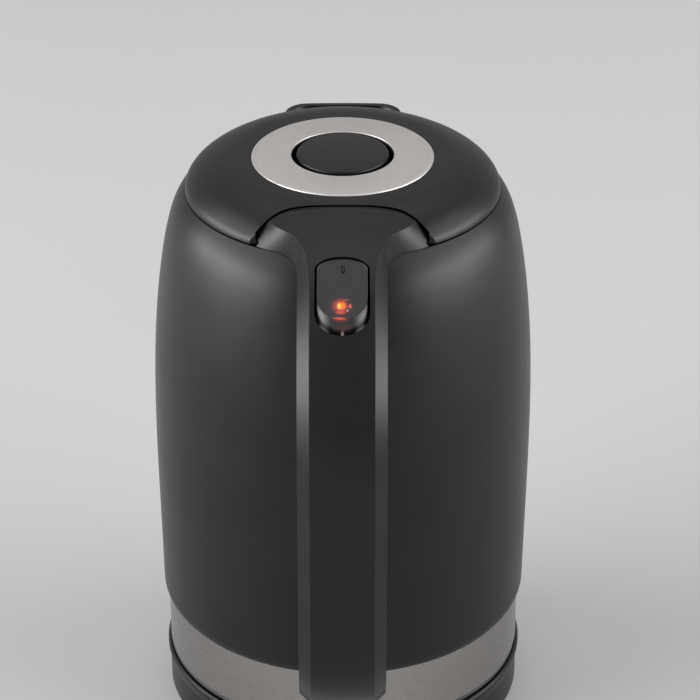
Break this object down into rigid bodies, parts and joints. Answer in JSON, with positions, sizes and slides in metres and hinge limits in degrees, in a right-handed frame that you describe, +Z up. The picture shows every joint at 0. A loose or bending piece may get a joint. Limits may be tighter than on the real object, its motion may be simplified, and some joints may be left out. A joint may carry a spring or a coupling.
{
  "type": "electric jug kettle",
  "caption": "Cordless electric jug kettle on a round power base, with a domed push-button lid, a wide beak spout, a D-shaped handle and a lit rocker switch on the handle's top.",
  "frame": {"origin": "on the jug's upright axis, in the plane of the table under the base's foot ring", "axes": "+Z up along the jug's axis, +Y towards the pouring lip, -Y towards the handle, +X to the right when the handle faces the viewer"},
  "size_m": [0.153, 0.2165, 0.2454],
  "materials": {
    "black_plastic": "satin moulded black",
    "button_plastic": "smooth black",
    "grey_plastic": "fine moulded dark grey",
    "pale_plastic": "heat-resisting moulding",
    "steel": "brushed",
    "alloy": "as rolled",
    "contact_metal": "bright",
    "zinc_screw": "zinc plated",
    "spring_steel": "drawn wire",
    "mesh": "woven wire",
    "seal": "grey silicone",
    "soft_foot": "matt",
    "smoked_clear": "smoked clear plastic",
    "lamp": "amber lens",
    "wire": "insulated lead"
  },
  "bodies": {
    "power_base": {"base_housing": "black_plastic", "base_bottom_plate": "grey_plastic", "base_foot_ring": "soft_foot", "base_connector": "grey_plastic", "base_contacts": "contact_metal", "base_cord_gland": "soft_foot", "base_screws": "zinc_screw"},
    "connector": {"jug_connector": "grey_plastic", "jug_contacts": "contact_metal"},
    "jug": {"body_shell": "black_plastic", "spout": "black_plastic", "steel_band": "steel", "bottom_cover": "grey_plastic", "bottom_screws": "zinc_screw", "heater_plate": "steel", "plate_seal": "seal", "heat_spreader": "alloy", "heating_element": "alloy", "dry_boil_control": "pale_plastic", "bimetal_discs": "contact_metal", "control_screws": "zinc_screw", "spout_filter_frame": "grey_plastic", "spout_filter_mesh": "mesh", "handle_outer": "black_plastic", "handle_inner": "black_plastic", "handle_screws": "zinc_screw", "hinge_deck": "black_plastic", "hinge_pin": "zinc_screw", "lid_hinge_spring": "spring_steel", "steam_switch_body": "pale_plastic", "steam_bimetal": "contact_metal", "switch_axle": "zinc_screw", "indicator_lamp": "lamp", "handle_wiring": "wire"},
    "lid": {"lid_outer": "black_plastic", "lid_ring": "steel", "lid_inner": "grey_plastic", "lid_seal": "seal", "lid_screws": "zinc_screw"},
    "lid_button": {"lid_button": "button_plastic", "button_spring": "spring_steel"},
    "lid_latch": {"lid_latch": "grey_plastic"},
    "switch": {"switch_paddle": "smoked_clear"}
  },
  "joints": [
    {"name": "jug_lift", "type": "slide", "parent": "power_base", "child": "connector", "axis": [0, 0, 1], "range_m": [0, 0.1]},
    {"name": "jug_swivel", "type": "hinge", "parent": "connector", "child": "jug", "pos_m": [0, 0, 0.03], "axis": [0, 0, 1], "continuous": true},
    {"name": "lid_hinge", "type": "hinge", "parent": "jug", "child": "lid", "pos_m": [0, -0.052, 0.234], "axis": [1, 0, 0], "range_deg": [0, 70]},
    {"name": "button_press", "type": "slide", "parent": "lid", "child": "lid_button", "axis": [0, 0, -1], "range_m": [0, 0.003], "stiffness_N_per_m": 300, "deforming": ["button_spring"]},
    {"name": "latch_slide", "type": "slide", "parent": "lid", "child": "lid_latch", "axis": [0, -1, 0], "range_m": [0, 0.003]},
    {"name": "switch_rock", "type": "hinge", "parent": "jug", "child": "switch", "pos_m": [0, -0.08986, 0.22649], "axis": [1, 0, 0], "range_deg": [0, 18]}
  ],
  "couplings": [
    {"joint": "latch_slide", "follows": "button_press", "ratio": 1}
  ]
}
